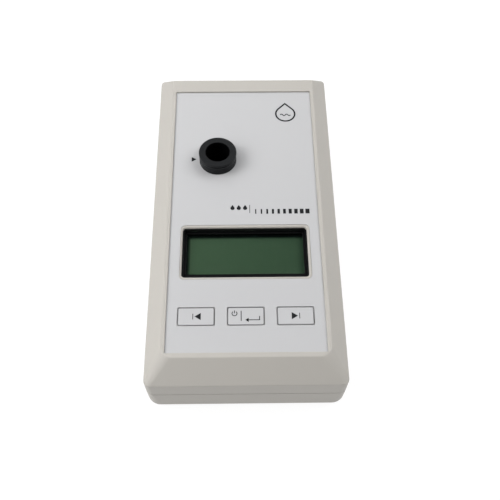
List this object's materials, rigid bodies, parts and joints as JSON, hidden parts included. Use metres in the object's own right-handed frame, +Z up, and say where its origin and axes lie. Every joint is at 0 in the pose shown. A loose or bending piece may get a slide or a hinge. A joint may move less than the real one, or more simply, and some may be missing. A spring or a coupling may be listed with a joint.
{
  "type": "digital water tester",
  "caption": "Handheld photometer for testing water: two-part case with a round cuvette well, a display window, three front keys and a hinged battery door underneath.",
  "frame": {"origin": "on the supporting surface, under the middle of the case", "axes": "+Y towards the rear end with the cuvette well, -Y towards the keys, +X to the user's right, +Z up out of the front panel"},
  "size_m": [0.1, 0.2, 0.0423],
  "materials": {
    "case_plastic": "matte",
    "panel_film": "satin",
    "black_acetal": "satin",
    "bezel_metal": "satin",
    "display_glass": "gloss",
    "backlight": "satin",
    "circuit_board": "satin",
    "black_epoxy": "matte",
    "plated_steel": "satin",
    "aluminium_can": "satin",
    "filter_glass": "gloss",
    "clear_resin": "gloss",
    "foot_rubber": "matte",
    "door_foam": "matte",
    "battery_jacket": "satin",
    "red_insulation": "satin",
    "black_insulation": "satin",
    "grey_ribbon": "satin"
  },
  "bodies": {
    "case": {"upper_shell": "case_plastic", "lower_shell": "case_plastic", "panel_film": "panel_film", "cuvette_collar": "black_acetal", "optical_block": "black_acetal", "battery_snap": "black_acetal", "display_bezel": "bezel_metal", "display_glass": "display_glass", "display_backlight": "backlight", "main_board": "circuit_board", "display_board": "circuit_board", "emitter_board": "circuit_board", "detector_board": "circuit_board", "microcontroller": "black_epoxy", "signal_amplifier": "black_epoxy", "voltage_regulator": "black_epoxy", "switch_back": "black_epoxy", "switch_enter": "black_epoxy", "switch_next": "black_epoxy", "display_header": "black_epoxy", "buzzer": "black_epoxy", "case_screw_1": "plated_steel", "case_screw_2": "plated_steel", "case_screw_3": "plated_steel", "case_screw_4": "plated_steel", "board_screw_1": "plated_steel", "board_screw_2": "plated_steel", "board_screw_3": "plated_steel", "board_screw_4": "plated_steel", "display_screw_1": "plated_steel", "display_screw_2": "plated_steel", "display_screw_3": "plated_steel", "display_screw_4": "plated_steel", "block_screw_1": "plated_steel", "block_screw_2": "plated_steel", "switch_back_dome": "plated_steel", "switch_enter_dome": "plated_steel", "switch_next_dome": "plated_steel", "crystal": "plated_steel", "capacitor": "aluminium_can", "photodiode": "aluminium_can", "interference_filter": "filter_glass", "emitter_led": "clear_resin", "foot_1": "foot_rubber", "foot_2": "foot_rubber", "foot_3": "foot_rubber", "foot_4": "foot_rubber", "battery": "battery_jacket", "lead_positive": "red_insulation", "lead_negative": "black_insulation", "emitter_ribbon": "grey_ribbon", "detector_ribbon": "grey_ribbon"},
    "key_back": {"key_back": "panel_film", "switch_back_plunger": "black_acetal"},
    "key_enter": {"key_enter": "panel_film", "switch_enter_plunger": "black_acetal"},
    "key_next": {"key_next": "panel_film", "switch_next_plunger": "black_acetal"},
    "battery_door": {"battery_door": "case_plastic", "door_pad": "door_foam"}
  },
  "joints": [
    {"name": "key_back_press", "type": "slide", "parent": "case", "child": "key_back", "axis": [0, 0, -1], "range_m": [0, 0.0005], "stiffness_N_per_m": 2500, "springref_m": -0.0002},
    {"name": "key_enter_press", "type": "slide", "parent": "case", "child": "key_enter", "axis": [0, 0, -1], "range_m": [0, 0.0005], "stiffness_N_per_m": 2500, "springref_m": -0.0002},
    {"name": "key_next_press", "type": "slide", "parent": "case", "child": "key_next", "axis": [0, 0, -1], "range_m": [0, 0.0005], "stiffness_N_per_m": 2500, "springref_m": -0.0002},
    {"name": "battery_door_hinge", "type": "hinge", "parent": "case", "child": "battery_door", "pos_m": [0, 0.0579, 0.0031], "axis": [-1, 0, 0], "range_deg": [0, 100]}
  ]
}
